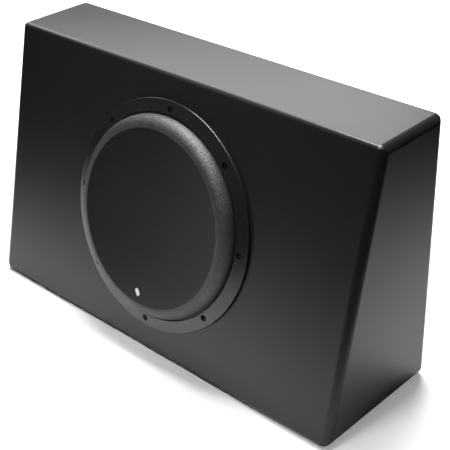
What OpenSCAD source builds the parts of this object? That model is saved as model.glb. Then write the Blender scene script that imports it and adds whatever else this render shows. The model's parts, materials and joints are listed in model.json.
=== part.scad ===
// Powered wedge subwoofer for a vehicle: a sealed wedge cabinet, a slim twelve-inch driver in its
// sloping baffle, and a mono amplifier sunk into its left end.
// Frame: +Z up, the baffle faces -Y, +X is to the right of someone looking at the baffle.
// Origin: middle of the bounding box in X and Y, at the underside of the feet.

/* [Cabinet] */
// Width of the cabinet
box_w = 644; // [560:1:800]
// Height of the cabinet, without its feet
box_h = 375; // [350:1:460]
// Depth of the cabinet at its top
top_d = 117; // [105:1:150]
// Depth of the cabinet at its bottom
bottom_d = 208; // [195:1:260]
// Thickness of the top, bottom, back and side panels
panel_t = 15; // [12:0.5:18]
// Thickness of the front baffle
baffle_t = 18; // [15:0.5:22]
// Thickness of the vinyl wrap
wrap_t = 0.8; // [0.5:0.1:1]
// Radius of the edges round the two end faces
end_r = 11; // [8:0.5:12]
// Radius of the long edges
long_r = 5; // [3:0.5:7]
// Side of the square battens in the inner corners
batten = 15; // [10:1:18]
// Height of the rubber feet
foot_h = 4; // [3:0.5:8]
// Radius of the rubber feet
foot_r = 12; // [10:0.5:16]
// Distance from the cabinet's edges to the middle of each foot
foot_inset = 36; // [30:1:60]

/* [Driver frame] */
// Diameter of the driver's frame
frame_d = 318; // [265:1:324]
// Distance from the middle of the baffle up to the driver's middle
driver_rise = 1.5; // [0:0.5:6]
// Width of the trim ring
ring_w = 18.2; // [17:0.1:22]
// Distance from the frame's edge to its screws
bolt_edge = 11.5; // [10:0.1:12]
// Number of driver screws
bolt_count = 8; // [6:1:12]
// Clearance radius of the driver's screw holes
bolt_hole_r = 2.3; // [2.2:0.1:2.6]
// Radius of the counterbores in the trim ring
bolt_sink_r = 4.3; // [4.1:0.1:5]
// Thickness of the foam gasket under the frame
gasket_t = 1.2; // [1:0.1:2]
// Thickness of the frame's flange
flange_t = 2; // [1.8:0.1:3]
// Depth of the bowl down to the spider shelf
shelf_depth = 46; // [42:1:52]
// Number of spokes in the bowl
spokes = 8; // [6:1:10]

/* [Diaphragm] */
// Radius of the surround's round section
roll_r = 15.5; // [14:0.5:17]
// Height of the middle of that section over the baffle
roll_mid_h = 8.7; // [8:0.1:12]
// Thickness of the surround's rubber
rubber_t = 1.8; // [1.6:0.1:2.2]
// Gap between the surround and the trim ring
roll_gap = 2.2; // [1.5:0.1:3]
// How far inside the crown of the surround the dish ends, which also sets how deep it is
dish_lap = 1.5; // [1:0.1:4]
// Thickness of the dish
dish_t = 1.2; // [1:0.1:1.4]
// Thickness of the rear cone
cone_t = 1.4; // [1:0.1:2]
// Depth of the rear cone's neck behind the baffle
neck_depth = 26; // [22:1:27]
// Travel of the diaphragm each way
travel = 10; // [8:0.5:10]

/* [Motor] */
// Inner radius of the voice coil former
former_r = 31.2; // [28:0.1:34]
// Thickness of the former
former_t = 0.5; // [0.4:0.1:0.6]
// Thickness of the winding
winding_t = 1.6; // [1.2:0.1:1.8]
// Height of the winding
winding_h = 26; // [22:1:26]
// Radial air gap on each side of the coil
air_gap = 0.8; // [0.7:0.1:1]
// Thickness of the top plate
top_plate_t = 8; // [6:0.5:9]
// Radius of the top plate and the yoke
plate_r = 73; // [68:1:76]
// Radius of the magnet
magnet_r = 78; // [76:1:84]
// Inner radius of the magnet
magnet_bore_r = 44; // [40:1:48]
// Thickness of the magnet
magnet_t = 24; // [24:1:30]
// Thickness of the yoke's base
yoke_t = 10; // [8:1:12]
// Radius of the vent through the pole
vent_r = 11; // [8:1:14]

/* [Amplifier] */
// Width of the amplifier tray's flange, front to back
tray_w = 112; // [108:1:116]
// Height of the amplifier tray's flange
tray_h = 224; // [220:1:240]
// Distance from the cabinet's back to the tray
tray_back = 20; // [16:1:24]
// Distance from the cabinet's bottom to the tray
tray_rise = 22; // [18:1:40]
// Width of the tray's flange on each side
tray_lip = 12; // [11:0.5:13]
// Thickness of the tray's flange
lip_t = 3; // [2.5:0.5:4]
// Depth of the well from the cabinet's side
well_d = 26; // [24:1:30]
// Wall thickness of the tray
tray_t = 2.5; // [2:0.5:3]
// Depth of the cover behind the control panel
cover_d = 52; // [50:1:60]
// Radius of the control knobs
knob_r = 7; // [6:0.5:8]
// Distance between the control knobs
knob_pitch = 22; // [20:0.5:23]
// Radius of the holes that take the power wires
wire_r = 3; // [2.5:0.1:3.4]
// Outer radius of the phono jacks
jack_r = 4.15; // [4.15:0.01:4.2]
// Diameter of the speaker leads
lead_d = 3.2; // [2.8:0.2:4]

/* [Hidden] */
$fn = 64;
eps = 0.01;

// ---- Cabinet geometry ----
tilt = atan((bottom_d - top_d) / box_h);        // slope of the baffle from the vertical
skin = wrap_t + panel_t;                        // outside face to inside face of a plain panel
front_skin = wrap_t + baffle_t;                 // the same for the baffle
inner_w = box_w - 2 * skin;                     // clear width between the side panels
corner_steps = 6;                               // flats that round each long edge
end_steps = 6;                                  // flats that round each end

// ---- Driver geometry: radii from its axis, heights over the wrapped baffle ----
frame_r = frame_d / 2;                          // edge of the frame and the trim ring
ring_in_r = frame_r - ring_w;                   // inner edge of the trim ring
roll_mid_r = ring_in_r - roll_gap - roll_r;     // middle of the surround's round section
flange_h = gasket_t + flange_t;                 // top of the frame's flange
foot_t = 1.2;                                   // thickness of the surround's foot
foot_w = 2.7;                                   // width of that foot under the trim ring
ring_in_h = flange_h + 5.2;                     // top of the trim ring at its inner edge
ring_out_h = flange_h + 1.3;                    // and at its lower outer edge
ring_round = 0.9;                               // rounding of its outer edge
cutout_r = ring_in_r + 0.2;                     // hole in the baffle
bowl_r = cutout_r - 3;                          // outside of the frame's bowl
bowl_t = 3;                                     // its wall
rim_depth = 12;                                 // depth of the bowl's upright rim
dish_r = roll_mid_r - dish_lap;                 // edge of the dish
dish_slope = asin(dish_lap / roll_r);           // slope where the dish runs into the surround
dish_edge_h = roll_mid_h + roll_r * cos(dish_slope); // height of the dish's edge
dish_sphere = dish_r / sin(dish_slope);         // radius of the dish's sphere
dish_mid_h = dish_edge_h + dish_sphere * cos(dish_slope);   // height of the sphere's middle
lip_h = roll_mid_h + 7.5;                       // lower edge of the surround's inner lip
foot_in_r = roll_mid_r + sqrt(pow(roll_r - rubber_t / 2, 2) - pow(roll_mid_h - flange_h, 2));
coil_in_r = former_r + former_t;                // inside of the winding, outside of the former
pole_r = former_r - air_gap;                    // pole inside the former
plate_bore_r = coil_in_r + winding_t + air_gap; // bore of the top plate
shelf_r = 92;                                   // radius of the spider shelf
shelf_w = 8;                                    // and its half width
plate_h = -(shelf_depth + 9);                   // front face of the top plate
magnet_h = plate_h - top_plate_t;               // front face of the magnet
yoke_h = magnet_h - magnet_t;                   // front face of the yoke
coil_mid_h = plate_h - top_plate_t / 2;         // middle of the winding
coil_low_h = coil_mid_h - winding_h / 2;        // its lower end
spider_in_h = -36;                              // height of the spider at the former
spider_out_h = -shelf_depth;                    // and on its shelf
spider_t = 0.8;                                 // thickness of the spider
spider_waves = 6;                               // corrugations
spider_amp = 0.16 * travel;                      // their height, which the travel asks for
bolt_r = frame_r - bolt_edge;                   // radius of the screws' circle
screw_r = 2;                                    // shank of the driver screws
plug_r = 2.9;                                   // barrel of the tee nuts

badge_at = dish_r * [-0.037, -0.88];            // middle of the badge, seen along the driver's axis
badge_lean = 37;                                // degrees from the slope of the baffle
badge_len = 10.8;                               // length of the badge
badge_w = 5.4;                                  // its width
badge_t = 0.8;                                  // its thickness

// ---- Place of everything in the cabinet ----
reach = max(bottom_d,
            (top_d + bottom_d) / 2 + (roll_mid_r - driver_rise) * sin(tilt) + roll_mid_h * cos(tilt)
            + roll_r);
y_back = reach / 2;                             // Y of the cabinet's back

// ---- Amplifier geometry: the tray's middle, heights out from the cabinet's left side ----
well_w = tray_w - 2 * tray_lip;                 // clear width of the well
well_h = tray_h - 2 * tray_lip;
sink = 0.2;                                     // how far the tray's flange sits below the side
tray_gasket_t = 1;                              // thickness of the gasket under the tray
rebate = sink + lip_t + tray_gasket_t;          // depth of the rebate in the side panel
window_w = well_w - 18;                         // opening in the tray's floor
window_h = well_h - 18;
face_h = -(well_d + tray_t);                    // front of the control panel
sheet_t = 2;                                    // thickness of the control panel
behind_h = face_h - sheet_t;                    // back of the control panel
board_gap = 14;                                 // control panel to circuit board
board_t = 1.6;                                  // thickness of the circuit board
board_h = behind_h - board_gap;                 // front of the circuit board
case_w = well_w - 2;                            // control panel and cover
case_h = well_h - 2;                            // and its height
case_t = 1.2;                                   // thickness of the cover's sheet
panel_screw_x = (window_w + well_w) / 4;        // middle of the floor's border
panel_screw_y = (window_h + well_h) / 4;
tray_screw_x = (tray_w - tray_lip) / 2;         // middle of the tray's flange
tray_screw_y = (tray_h - tray_lip) / 2;
knob_y = -4;                                    // height of the row of knobs over the tray's middle
knob_h = 11;                                    // length of a knob
shaft_r = 2.5;                                  // shaft of a knob
switch_y = -26;                                 // row of switches and lamp
switch_x = [-21, 2];                            // switches in that row
slider_travel = 4;                              // throw of a slider
slider_w = 4;                                   // side of a slider
led_x = 25;                                     // lamp in that row
jack_y = -46;                                   // row of sockets
jack_x = [-23, -3];                             // phono jacks in that row
jack_len = 10;                                  // length of a jack's barrel
socket_x = 21;                                  // level control socket in that row
socket_w = 16;                                  // its side
block_x = -10.5;                                // middle of the power terminals
block_y = -72;                                  // row of terminals and fuses
block_w = 46;                                   // width of the terminal block
block_hgt = 23;                                 // its height
block_out = 20;                                 // how far it stands out of the panel
terminal_pitch = 14.5;                          // from one terminal to the next
clamp_w = 11.2;                                 // width of a clamp
clamp_hgt = block_hgt - 5.4;                    // its height
clamp_len = 15.5;                               // its length
clamp_h = face_h + 3;                           // back of the clamps
fuse_x = 25;                                    // middle of the fuse holder
fuse_w = 19;                                    // its width
sink_y = 49;                                    // middle of the heatsink over the tray's middle
sink_w = 60;                                    // its width
sink_hgt = 74;                                  // its height
fin_count = 9;                                  // number of fins
fin_t = 2;                                      // thickness of a fin
fin_out = 18;                                   // how far the fins stand out of the panel
base_t = 4;                                     // thickness of the heatsink's base

// ---- Lead routes, in millimetres ----
// From the amplifier's cover to the driver's terminals, as offsets from those two ends
lead_start = [-box_w / 2 + well_d + tray_t + sheet_t + cover_d, y_back - tray_back - tray_w / 2,
              foot_h + tray_rise + tray_h / 2];
lead_bow = [[14, 0, 0], [34, 3, -8], [56, 8, -14]];
// From the driver's terminals to the cone's neck, in the baffle's frame
tinsel_side = 12;                               // of each lead from the middle plane
tinsel_r = 0.9;

// ---- Shared shapes ----
function front_y(z, inset) = -bottom_d + (bottom_d - top_d) * z / box_h + inset / cos(tilt);

module in_box() translate([0, y_back, foot_h]) children();
module on_baffle()
    in_box() translate([0, -(top_d + bottom_d) / 2, box_h / 2]) rotate([90 - tilt, 0, 0])
        translate([0, driver_rise, 0]) children();
module on_side()
    in_box() translate([-box_w / 2, -(tray_back + tray_w / 2), tray_rise + tray_h / 2])
        rotate([90, 0, -90]) children();
module across(w) rotate([90, 0, 90]) linear_extrude(w, center = true) children();
module span(low, high) translate([0, 0, low]) linear_extrude(high - low) children();
module peg(r, low, high) translate([0, 0, low]) cylinder(r = r, h = high - low);
module around(count, r) for (i = [0:count - 1]) rotate(i * 360 / count) translate([r, 0, 0]) children();
module corners(x, y) for (sx = [-1, 1], sy = [-1, 1]) translate([sx * x, sy * y, 0]) children();
module ring(out_r, in_r, low, high)
    difference() {
        peg(out_r, low, high);
        peg(in_r, low - 1, high + 1);
    }
module round_rect(w, h, r) {
    square([w - 2 * r, h], center = true);
    square([w, h - 2 * r], center = true);
    corners(w / 2 - r, h / 2 - r) circle(r);
}
module slab(w, h, low, high) translate([-w / 2, -h / 2, low]) cube([w, h, high - low]);

// Side view of the cabinet with rounded corners, taken in by an inset; points are [Y, Z]
side_view = [[0, 0], [0, box_h], [-top_d, box_h], [-bottom_d, 0]];
function inward(a, b) = [a[1] - b[1], b[0] - a[0]] / norm(b - a);
function rounded(a, b, c, inset, r) = let (p = inward(a, b), q = inward(b, c), turn = acos(p * q),
        start = atan2(p[1], p[0]), mid = b + (inset + r) * (p + q) / (1 + p * q))
    [for (k = [0:corner_steps]) let (t = start + turn * k / corner_steps) mid - r * [cos(t), sin(t)]];
function outline(inset) = [for (i = [0:3]) each rounded(side_view[(i + 3) % 4], side_view[i],
        side_view[(i + 1) % 4], inset, max(long_r - inset, 0.3))];
// The whole cabinet as a closed wedge with rounded ends: sections from the left end to the right
module wedge(inset) {
    r = end_r - inset;
    n = 4 * (corner_steps + 1);
    cuts = concat([for (k = [end_steps:-1:0]) [-1, 90 * k / end_steps]],
                  [for (k = [0:end_steps]) [1, 90 * k / end_steps]]);
    points = [for (c = cuts) each [for (p = outline(inset + r * (1 - cos(c[1]))))
                                   [c[0] * (box_w / 2 - inset - r * (1 - sin(c[1]))), p[0], p[1]]]];
    walls = [for (i = [0:len(cuts) - 2], k = [0:n - 1])
             [i * n + k, (i + 1) * n + k, (i + 1) * n + (k + 1) % n, i * n + (k + 1) % n]];
    last = (len(cuts) - 1) * n;
    ends = [[for (k = [0:n - 1]) k], [for (k = [n - 1:-1:0]) last + k]];
    in_box() polyhedron(points, concat(walls, ends));
}
// A panel that runs between the side panels, cut from the side view by an outline
module board() in_box() across(inner_w) intersection() {
    polygon(outline(wrap_t));
    children();
}
module side_board(s)
    intersection() {
        wedge(wrap_t);
        translate([s > 0 ? inner_w / 2 : -box_w / 2, -2 * bottom_d, -box_h])
            cube([skin, 4 * bottom_d, 3 * box_h]);
    }
module foot_places()
    translate([0, y_back - bottom_d / 2, 0]) corners(box_w / 2 - foot_inset, bottom_d / 2 - foot_inset)
        children();
module driver_bolts() on_baffle() around(bolt_count, bolt_r) children();

// ---- Cabinet ----
module front_baffle()
    color("tan") difference() {
        board() polygon([[front_y(-9, front_skin), -9], [front_y(box_h + 9, front_skin), box_h + 9],
                         [-2 * bottom_d, box_h + 9], [-2 * bottom_d, -9]]);
        on_baffle() peg(cutout_r, -3 * baffle_t, 9);
        driver_bolts() peg(plug_r + 0.1, -2 * baffle_t, 9);
    }
module back_panel()
    color("tan") board() polygon([[-skin, -9], [9, -9], [9, box_h + 9], [-skin, box_h + 9]]);
module level_board(low, high)
    board() polygon([[front_y(low, front_skin), low], [-skin, low], [-skin, high],
                     [front_y(high, front_skin), high]]);
module top_panel() color("tan") level_board(box_h - skin, box_h);
module bottom_panel()
    color("tan") difference() {
        level_board(0, skin);
        foot_places() peg(1.7, foot_h - 1, foot_h + skin - 3);
    }
module left_side_panel()
    color("tan") difference() {
        side_board(-1);
        on_side() span(-rebate, 1) round_rect(tray_w + 0.8, tray_h + 0.8, 8.4);
        on_side() span(-3 * skin, 1) round_rect(well_w + 2 * tray_t + 1, well_h + 2 * tray_t + 1, 4.5);
        on_side() tray_screw_places() peg(1.4, -rebate - 11, 1);
    }
module right_side_panel() color("tan") side_board(1);
module corner_battens()
    color("burlywood") in_box() across(inner_w)
        for (top = [0, 1]) {
            z = top ? box_h - skin - batten : skin;
            translate([-skin - batten, z]) square(batten);
            polygon([[front_y(z, front_skin), z], [front_y(z, front_skin) + batten, z],
                     [front_y(z, front_skin) + batten, z + batten],
                     [front_y(z + batten, front_skin), z + batten]]);
        }
module vinyl_wrap()
    color("#232324") difference() {
        wedge(0);
        wedge(wrap_t);
        on_baffle() peg(cutout_r, -9, 9);
        driver_bolts() peg(plug_r + 0.1, -9, 9);
        on_side() span(-9, 9) round_rect(tray_w + 0.8, tray_h + 0.8, 8.4);
        foot_places() peg(1.7, foot_h - 2, foot_h + 2);
    }
module feet()
    color("#1a1a1a") foot_places() difference() {
        cylinder(r1 = foot_r - 1, r2 = foot_r, h = foot_h);
        peg(1.8, -1, foot_h + 1);
        peg(4, -1, foot_h - 1.6);
    }
module foot_screws()
    color("#55565a") foot_places() {
        peg(3.4, foot_h - 1.6 - min(1.4, foot_h - 2), foot_h - 1.6);
        peg(1.6, foot_h - 1.7, foot_h + skin - 3.5);
    }

// ---- Driver: fixed parts ----
module mounting_gasket()
    color("#151515") difference() {
        on_baffle() ring(frame_r - 1.4, cutout_r, 0, gasket_t);
        driver_bolts() peg(bolt_hole_r + 0.4, -1, 9);
    }
module basket_section()
    polygon([
        [frame_r - 0.6, flange_h], [bowl_r - bowl_t, flange_h], [bowl_r - bowl_t, -rim_depth],
        [shelf_r + shelf_w - 4, -shelf_depth], [shelf_r - shelf_w - 1, -shelf_depth],
        [plate_r - 5, plate_h + 3], [plate_bore_r + 8, plate_h + 3], [plate_bore_r + 8, plate_h],
        [plate_r - 1, plate_h], [shelf_r - shelf_w, -shelf_depth - 3],
        [shelf_r + shelf_w, -shelf_depth - 3], [bowl_r, -rim_depth - 3], [bowl_r, gasket_t],
        [frame_r - 0.6, gasket_t]]);
module basket()
    color("#2b2b2d") difference() {
        on_baffle() rotate_extrude() basket_section();
        driver_bolts() peg(bolt_hole_r, -1, 9);
        on_baffle() for (i = [0:spokes - 1])
            rotate((i + 0.5) * 360 / spokes) window(360 / spokes - 11);
        on_baffle() around(6, plate_r - 18) peg(2.1, plate_h - 1, plate_h + 9);
    }
module window(angle)
    rotate(-angle / 2) rotate_extrude(angle = angle)
        translate([shelf_r + shelf_w + 3, -shelf_depth + 2])
            square([bowl_r - shelf_r - shelf_w + 3, shelf_depth - rim_depth - 7]);
module trim_ring()
    color("#1d1e1f") difference() {
        on_baffle() rotate_extrude() polygon([
            [ring_in_r, flange_h + foot_t], [ring_in_r + foot_w + 0.2, flange_h + foot_t],
            [ring_in_r + foot_w + 0.2, flange_h], [frame_r, flange_h], [frame_r, ring_out_h - ring_round],
            [frame_r - ring_round, ring_out_h], [ring_in_r + 0.6, ring_in_h], [ring_in_r, ring_in_h - 0.6]]);
        driver_bolts() peg(bolt_sink_r, -1, 19);
    }
module driver_screws()
    color("#101010") driver_bolts() difference() {
        union() {
            peg(3.7, flange_h, flange_h + 2.2);
            peg(screw_r, -front_skin - 4, flange_h + eps);
        }
        translate([0, 0, flange_h + 0.8]) cylinder(r = 1.75, h = 9, $fn = 6);
    }
module tee_nuts()
    color("silver") driver_bolts() difference() {
        union() {
            peg(6.2, -front_skin - 1.2, -front_skin);
            peg(plug_r, -front_skin - eps, -front_skin + 9);
        }
        peg(screw_r + 0.05, -2 * front_skin, 9);
    }
module terminal_strip()
    color("#1c1c1c") on_baffle() terminal_seat() difference() {
        slab(36, 9, 0, 2.4);
        for (s = [-1, 1]) translate([s * tinsel_side, 0, 0]) slab(5, 1, -1, 9);
    }
module terminal_tabs()
    color("gold") on_baffle() terminal_seat() for (s = [-1, 1])
        translate([s * tinsel_side, 0, 0]) slab(4.8, 0.8, 0.3, 10);
// Seat on the outside of the bowl's spoke at the left; its +Z leads away from the bowl
function wall_mid() = [(bowl_r + shelf_r + shelf_w) / 2, -(rim_depth + shelf_depth + 6) / 2];
module terminal_seat() {
    lean = atan2(bowl_r - shelf_r - shelf_w, shelf_depth - rim_depth);
    rotate(180) translate([wall_mid()[0], 0, wall_mid()[1]]) rotate([0, 90 + lean, 0]) rotate(90)
        children();
}
module top_plate()
    color("#6d6f73") on_baffle() difference() {
        ring(plate_r, plate_bore_r, magnet_h, plate_h);
        around(6, plate_r - 18) peg(1.6, plate_h - 6, plate_h + 1);
    }
module magnet() color("#3a3b3d") on_baffle() ring(magnet_r, magnet_bore_r, yoke_h, magnet_h);
module yoke()
    color("#6d6f73") on_baffle() difference() {
        union() {
            peg(plate_r, yoke_h - yoke_t, yoke_h);
            peg(pole_r, yoke_h - eps, plate_h);
        }
        peg(vent_r, yoke_h - 2 * yoke_t, 9);
        translate([0, 0, yoke_h - yoke_t - eps]) cylinder(r1 = vent_r + 3, r2 = vent_r - eps, h = 4);
    }
module vent_screen()
    color("#88898c") on_baffle() difference() {
        peg(vent_r, yoke_h - yoke_t + 4.4, yoke_h - yoke_t + 5);
        around(6, vent_r / 2) peg(1.2, yoke_h - yoke_t, yoke_h);
        peg(1.2, yoke_h - yoke_t, yoke_h);
    }
module motor_screws()
    color("#9a9ca0") on_baffle() around(6, plate_r - 18) {
        peg(3.4, plate_h + 3, plate_h + 5);
        peg(1.55, plate_h - 5, plate_h + 3 + eps);
    }

// ---- Driver: moving parts ----
module dish_ball(grow) translate([0, dish_mid_h]) circle(dish_sphere + grow, $fn = 1200);
module roll_circle(r) translate([roll_mid_r, roll_mid_h]) circle(r);
module surround()
    color("#4a4b4d") on_baffle() rotate_extrude() {
        difference() {
            intersection() {
                difference() {
                    roll_circle(roll_r);
                    roll_circle(roll_r - rubber_t);
                }
                polygon([[roll_mid_r, flange_h], [frame_r, flange_h], [frame_r, 99],
                         [0, 99], [0, lip_h], [roll_mid_r, lip_h]]);
            }
            intersection() {
                dish_ball(dish_t);
                square([dish_r, 99]);
            }
        }
        translate([foot_in_r, flange_h]) square([ring_in_r + foot_w - foot_in_r, foot_t]);
    }
module cone_dish()
    color("#262728") on_baffle() rotate_extrude() intersection() {
        difference() {
            dish_ball(dish_t);
            dish_ball(0);
        }
        square([dish_r, dish_edge_h + 1]);
    }
module cone_body()
    color("#1f2021") on_baffle() rotate_extrude() difference() {
        polygon([[coil_in_r, -neck_depth - 4], [coil_in_r + cone_t, -neck_depth - 4],
                 [coil_in_r + cone_t, -neck_depth], [dish_r - 10, dish_edge_h],
                 [dish_r - 10 - cone_t, dish_edge_h + 1], [coil_in_r, -neck_depth + 1]]);
        dish_ball(dish_t);
    }
// The small light mark on the dish, low down and a little to the left
module plain_badge() {
    r = norm(badge_at);
    slope = asin(r / dish_sphere);
    turn = atan2(badge_at[1], badge_at[0]);
    h = dish_mid_h - dish_sphere * cos(slope);
    color("white") on_baffle() rotate(turn) translate([r, 0, h]) rotate([0, -slope, 0])
        rotate(90 + badge_lean - turn) translate([0, 0, 0.05]) linear_extrude(badge_t)
            round_rect(badge_len, badge_w, badge_w / 2 - 0.1);
}
module voice_coil_former()
    color("#b98a3a") on_baffle() ring(coil_in_r, former_r, coil_low_h - 1, -neck_depth + 4);
module voice_coil()
    color("#a5562a") on_baffle() ring(coil_in_r + winding_t, coil_in_r, coil_low_h, coil_low_h + winding_h);
function spider_wave(s, up) = let (
        r = coil_in_r + s * (shelf_r - shelf_w + 1 - coil_in_r),
        slope = spider_in_h + s * (spider_out_h + spider_t / 2 - spider_in_h))
    [r, slope + spider_amp * sin(s * spider_waves * 360) * sin(s * 180) + up * spider_t / 2];
module spider() {
    steps = 10 * spider_waves;
    color("#b9a26a") on_baffle() rotate_extrude()
        polygon(concat([for (i = [0:steps]) spider_wave(i / steps, 1)],
                       [[shelf_r - 0.1, spider_out_h + spider_t], [shelf_r - 0.1, spider_out_h]],
                       [for (i = [steps:-1:0]) spider_wave(i / steps, -1)]));
}

// ---- Leads ----
function unit(v) = v / norm(v);
// A point on a smooth curve through the list p, for t from 0 to its last index
function curve(p, t) = let (
        n = len(p) - 1, i = min(floor(t), n - 1), u = t - i,
        a = p[max(i - 1, 0)], b = p[i], c = p[i + 1], d = p[min(i + 2, n)])
    0.5 * (2 * b + (c - a) * u + (2 * a - 5 * b + 4 * c - d) * u * u + (3 * b - a - 3 * c + d) * u * u * u);
// A tube of radius r along the curve through p; up must not run along it
module tube(p, r, up, rings, sides) {
    n = len(p) - 1;
    mid = [for (i = [0:rings]) curve(p, n * i / rings)];
    along = [for (i = [0:rings]) unit(mid[min(i + 1, rings)] - mid[max(i - 1, 0)])];
    pts = [for (i = [0:rings]) let (x = unit(cross(along[i], up)), y = cross(x, along[i]))
           for (k = [0:sides - 1]) mid[i] + r * (cos(k * 360 / sides) * x + sin(k * 360 / sides) * y)];
    walls = [for (i = [0:rings - 1], k = [0:sides - 1]) let (a = i * sides, b = (k + 1) % sides)
             [a + k, a + sides + k, a + sides + b, a + b]];
    polyhedron(pts, concat([[for (k = [0:sides - 1]) k]], walls,
                           [[for (k = [sides - 1:-1:0]) rings * sides + k]]));
}
module tinsel_leads()
    color("#c08a4a") on_baffle() for (s = [-1, 1])
        tube([[-wall_mid()[0] + 1, s * tinsel_side, wall_mid()[1] + 3],
              [-wall_mid()[0] + 12, s * tinsel_side, wall_mid()[1] + 8],
              [-86, s * 13, -26], [-68, s * 12, -22], [-52, s * 11, -26],
              [-coil_in_r - 2.4, s * 7, -neck_depth]],
             tinsel_r, [0, 0, 1], 26, 8);
// Turns a point of the baffle's frame into one of the part's frame
function from_baffle(p) = let (up = p[1] + driver_rise)
    [p[0], y_back - (top_d + bottom_d) / 2 + up * sin(tilt) - p[2] * cos(tilt),
     foot_h + box_h / 2 + up * cos(tilt) + p[2] * sin(tilt)];
module speaker_leads()
    for (s = [-1, 1]) {
        start = lead_start + [0, 0, s * 5];
        stop = from_baffle([-wall_mid()[0] - 8, s * tinsel_side, wall_mid()[1] - 9]);
        color(s > 0 ? "firebrick" : "#151515")
            tube([start, start + lead_bow[0], start + lead_bow[1], start + lead_bow[2],
                  stop + [-24, 6, -6], stop + [-8, 3, -1], stop], lead_d / 2, [0, 0, 1], 30, 8);
    }

// ---- Amplifier ----
module tray_screw_places() {
    corners(tray_screw_x, tray_screw_y) children();
    corners(tray_screw_x, tray_screw_y / 3) children();
    for (s = [-1, 1]) translate([0, s * tray_screw_y, 0]) children();
}
module panel_screw_places() {
    corners(panel_screw_x, panel_screw_y) children();
    for (s = [-1, 1]) translate([s * panel_screw_x, 0, 0]) children();
}
module amp_tray()
    color("#1b1b1c") on_side() difference() {
        union() {
            span(-sink - lip_t, -sink) round_rect(tray_w, tray_h, 8);
            span(face_h, -sink) round_rect(well_w + 2 * tray_t, well_h + 2 * tray_t, 4);
        }
        span(-well_d, 9) round_rect(well_w, well_h, 3);
        span(2 * face_h, 9) round_rect(window_w, window_h, 3);
        tray_screw_places() peg(1.9, -9, 9);
        tray_screw_places() peg(3.8, -sink - 1.6, 9);
        panel_screw_places() peg(1.7, 2 * face_h, 9);
    }
module amp_gasket()
    color("#151515") on_side() difference() {
        span(-rebate, -rebate + tray_gasket_t) difference() {
            round_rect(tray_w, tray_h, 8);
            round_rect(well_w + 2 * tray_t + 1, well_h + 2 * tray_t + 1, 4.5);
        }
        tray_screw_places() peg(2.2, -9, 9);
    }
module amp_tray_screws()
    color("#101010") on_side() tray_screw_places() difference() {
        union() {
            peg(3.4, -sink - 1.6, -sink - 0.2);
            peg(1.35, -rebate - 10, -sink - 1.6 + eps);
        }
        slab(3.6, 0.8, -sink - 0.9, 1);
        slab(0.8, 3.6, -sink - 0.9, 1);
    }
module control_panel()
    color("#2a2b2d") on_side() difference() {
        span(behind_h, face_h) round_rect(case_w, case_h, 3);
        translate([0, sink_y, 0]) slab(sink_w + 1, sink_hgt + 1, 2 * behind_h, 9);
        panel_screw_places() peg(1.7, 2 * behind_h, 9);
        knob_places() peg(3.6, 2 * behind_h, 9);
        for (x = switch_x) translate([x, switch_y, 0])
            slab(slider_w + slider_travel + 0.8, slider_w + 0.8, 2 * behind_h, 9);
        for (x = jack_x) translate([x, jack_y, 0]) peg(4.3, 2 * behind_h, 9);
        translate([socket_x, jack_y, 0]) slab(socket_w - 3, socket_w - 3, 2 * behind_h, 9);
        translate([led_x, switch_y, 0]) peg(1.6, 2 * behind_h, 9);
        translate([block_x, block_y, 0]) slab(block_w - 4, block_hgt - 4, 2 * behind_h, 9);
        translate([fuse_x, block_y, 0]) slab(fuse_w - 4, block_hgt - 4, 2 * behind_h, 9);
    }
module control_panel_screws()
    color("#55565a") on_side() panel_screw_places() difference() {
        union() {
            peg(3, -well_d, -well_d + 1.8);
            peg(1.45, behind_h - 8, -well_d + eps);
        }
        slab(3.4, 0.7, -well_d + 0.9, 1);
        slab(0.7, 3.4, -well_d + 0.9, 1);
    }
module heatsink()
    color("#37393b") on_side() translate([0, sink_y, 0]) {
        slab(sink_w + 8, sink_hgt + 6, behind_h - base_t, behind_h);
        for (i = [0:fin_count - 1])
            translate([(i - (fin_count - 1) / 2) * (sink_w - fin_t) / (fin_count - 1), 0, 0])
                slab(fin_t, sink_hgt, behind_h - eps, face_h + fin_out);
    }
module amp_cover()
    color("#8d8f93") on_side() difference() {
        span(behind_h - cover_d, behind_h) round_rect(case_w, case_h, 3);
        difference() {
            span(behind_h - cover_d + case_t, 9) round_rect(case_w - 2 * case_t, case_h - 2 * case_t, 2);
            panel_screw_places() peg(3, behind_h - 10, behind_h);
        }
        panel_screw_places() peg(1.5, behind_h - 9, 9);
        translate([0, 0, behind_h - cover_d]) for (s = [-1, 1])
            translate([0, s * 5, 0]) peg(lead_d / 2, -1, 9);
    }
module circuit_board()
    color("darkgreen") on_side() difference() {
        slab(case_w - 2 * case_t - 2, case_h - 2 * case_t - 2, board_h - board_t, board_h);
        standoff_places() peg(1.2, 2 * board_h, 9);
    }
module standoff_places()
    for (x = [-1, 1], y = [-82, 6]) translate([x * (case_w / 2 - 5), y, 0]) children();
module board_standoffs()
    color("goldenrod") on_side() standoff_places() difference() {
        peg(2.4, board_h, behind_h);
        peg(1.2, board_h - 1, board_h + 6);
    }
module filter_capacitors()
    color("#20242c") on_side() for (x = [-24, 0, 24], y = [-72, -48])
        translate([x, y, 0]) peg(9, board_h - board_t - 28, board_h - board_t);
module toroid_coil()
    color("#a5562a") on_side() translate([0, 30, 0])
        translate([0, 0, board_h - board_t - 11]) rotate_extrude() translate([17, 0]) circle(9);
module power_transistors()
    color("#161616") on_side() for (x = [-24, -8, 8, 24], y = [sink_y - 18, sink_y + 18])
        translate([x, y, 0]) slab(10, 15, behind_h - base_t - 4.5, behind_h - base_t);
module knob_places() for (i = [-1:1]) translate([i * knob_pitch, knob_y, 0]) children();
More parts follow.
